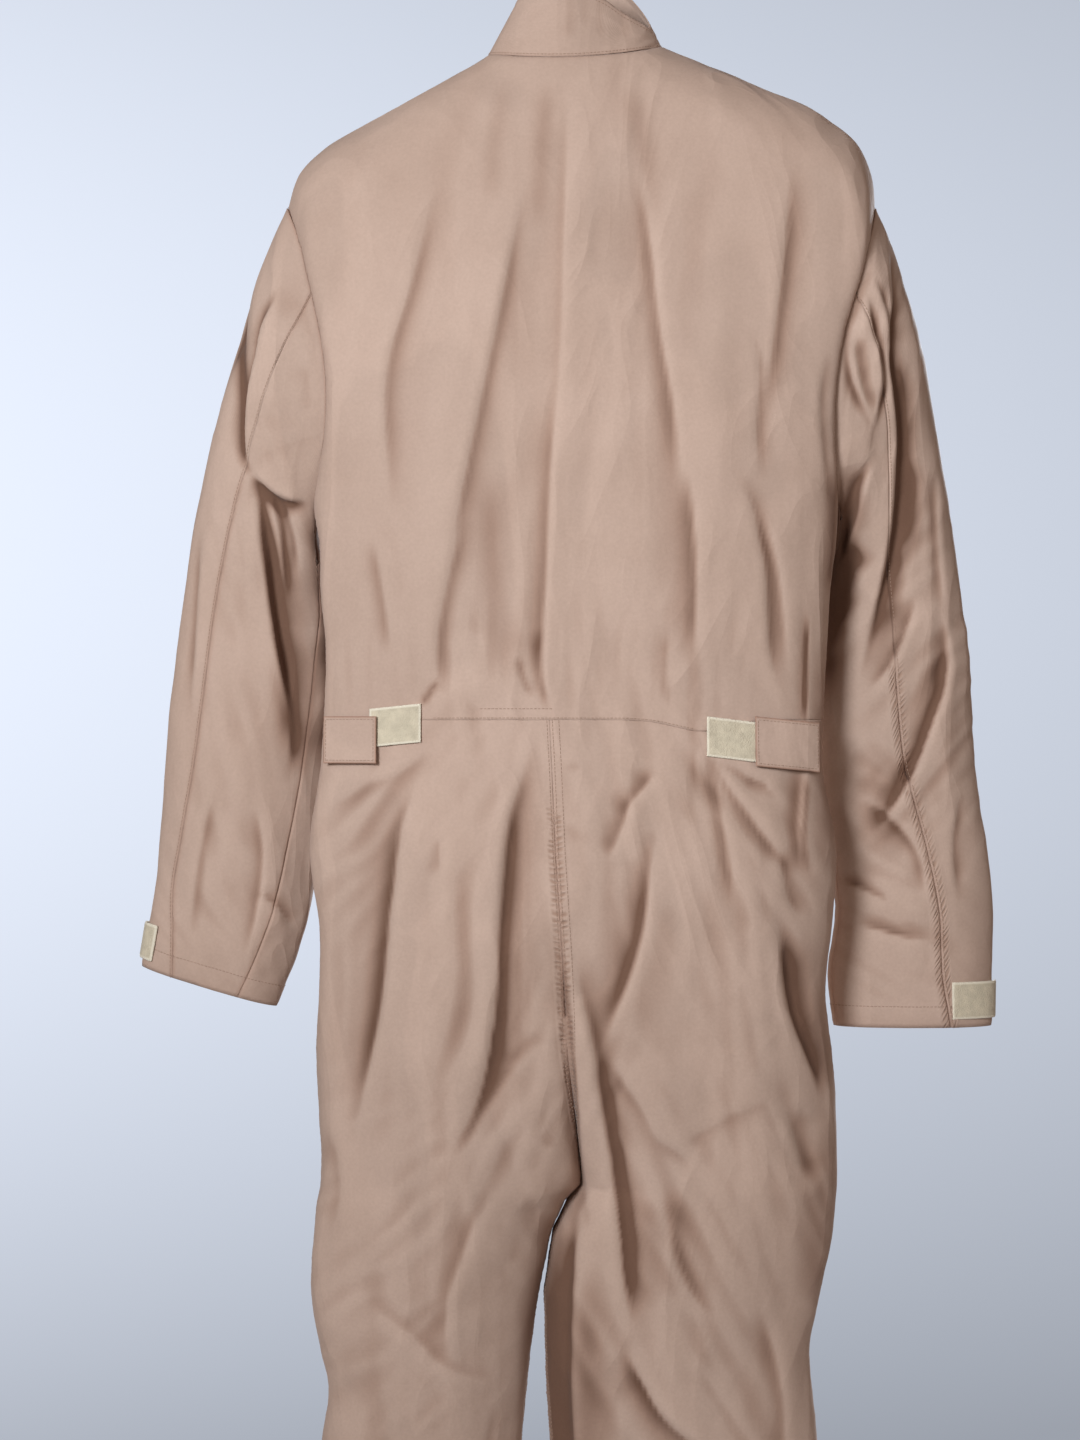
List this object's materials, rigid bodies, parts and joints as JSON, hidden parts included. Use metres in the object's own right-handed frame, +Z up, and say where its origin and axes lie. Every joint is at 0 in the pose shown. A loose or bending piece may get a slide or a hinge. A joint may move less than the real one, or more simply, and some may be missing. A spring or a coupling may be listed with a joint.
{
  "type": "flight suit on a hanger",
  "caption": "One-piece tan flight suit with stand collar, front zip, long sleeves and waist straps, hanging flat from a shaped hanger by its hook.",
  "frame": {"origin": "the underside of the hanger hook's crown, where a rail carries the suit", "axes": "+Z up along the hanging suit, +Y out of its zipped front, -Y out of its back, the wearer's left at -X"},
  "size_m": [0.7166, 0.1525, 1.7336],
  "materials": {
    "cloth": "matt twill weave",
    "tape": "matt hook-and-loop pile",
    "zip_cloth": "matt woven tape",
    "brass": "satin, worn",
    "steel": "bright wire",
    "wood": "clear varnish"
  },
  "bodies": {
    "suit": {"back_bodice": "cloth", "front_bodice_left": "cloth", "front_bodice_right": "cloth", "trouser_back_left": "cloth", "trouser_back_right": "cloth", "trouser_front_left": "cloth", "trouser_front_right": "cloth", "sleeve_left_under": "cloth", "sleeve_left_upper": "cloth", "sleeve_right_under": "cloth", "sleeve_right_upper": "cloth", "collar": "cloth", "waist_strap_left": "cloth", "waist_strap_right": "cloth", "waist_tape_left": "tape", "waist_tape_right": "tape", "cuff_tab_left": "tape", "cuff_tab_right": "tape", "zip_tape_left": "zip_cloth", "zip_tape_right": "zip_cloth", "zip_slider": "brass", "hanger_bar": "wood", "hanger_hook": "steel"},
    "zip_pull": {"zip_pull": "brass"}
  },
  "joints": [
    {"name": "zip_pull_hinge", "type": "hinge", "parent": "suit", "child": "zip_pull", "pos_m": [0.00301, 0.06028, -0.19], "axis": [1, 0, 0], "range_deg": [0, 150]}
  ]
}
